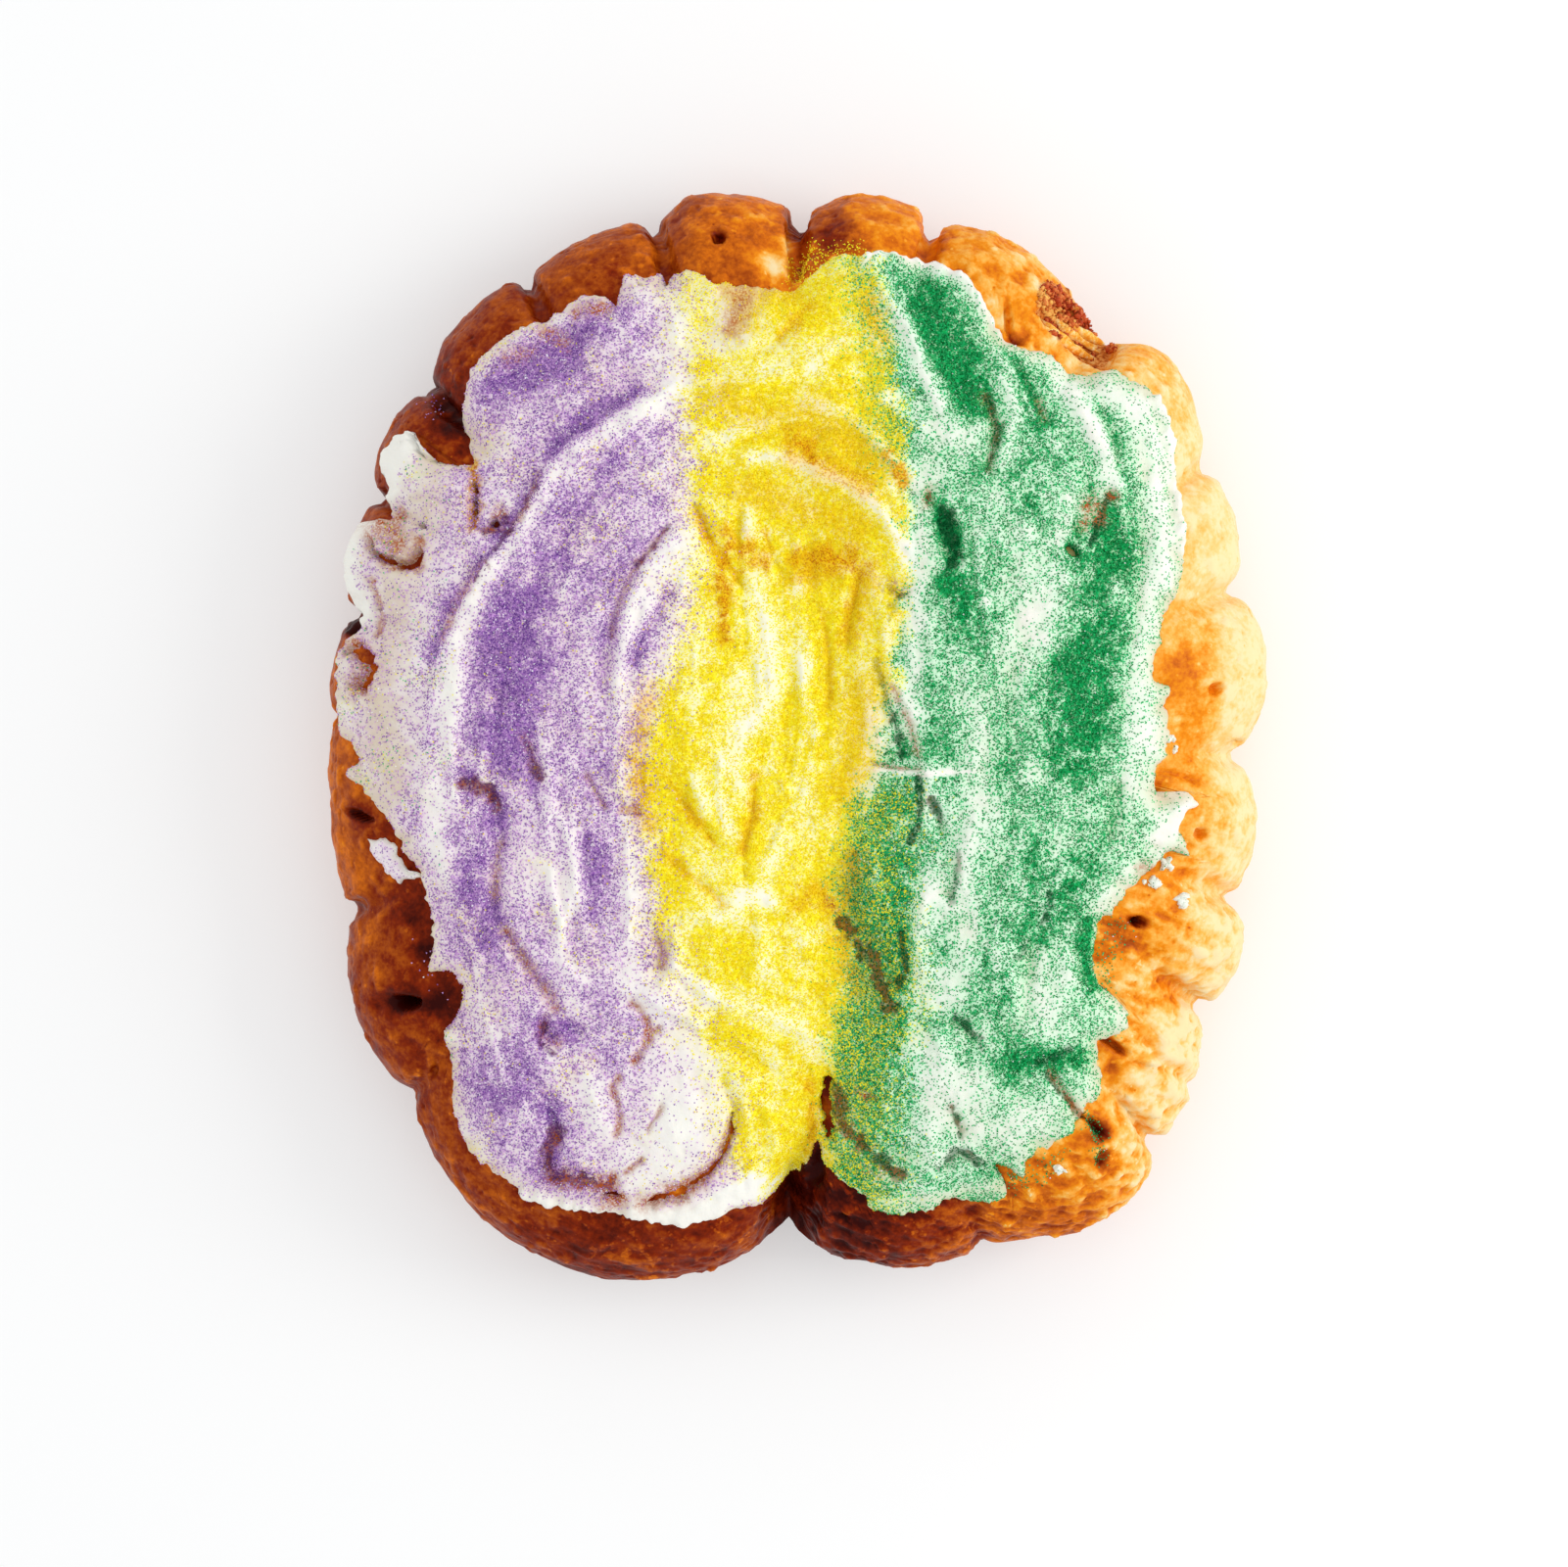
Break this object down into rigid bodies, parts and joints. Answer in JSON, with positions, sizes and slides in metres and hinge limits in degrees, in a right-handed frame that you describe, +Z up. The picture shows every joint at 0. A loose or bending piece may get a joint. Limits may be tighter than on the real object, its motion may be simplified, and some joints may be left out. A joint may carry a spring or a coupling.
{
  "type": "king cake",
  "caption": "Filled sweet roll bent into a closed oval, with a lobed brown crust, white icing spread over its top, and purple, yellow and green sugar in three bands.",
  "frame": {"origin": "middle of the footprint's box, on the flat underside", "axes": "+Z up; +Y along the length, away from the cleft where the roll's two ends meet; +X to the right of the green band"},
  "size_m": [0.2631, 0.3039, 0.0666],
  "materials": {
    "crust": "glossy baked egg-washed crust, darker at the lower end",
    "filling": "moist crumbly cinnamon sugar",
    "icing": "soft satin sugar icing",
    "sugar_purple": "sparkling coloured sugar grains",
    "sugar_yellow": "sparkling coloured sugar grains",
    "sugar_green": "sparkling coloured sugar grains"
  },
  "bodies": {
    "root": {"bread": "crust", "filling": "filling", "icing": "icing", "icing_flake": "icing"}
  },
  "joints": []
}
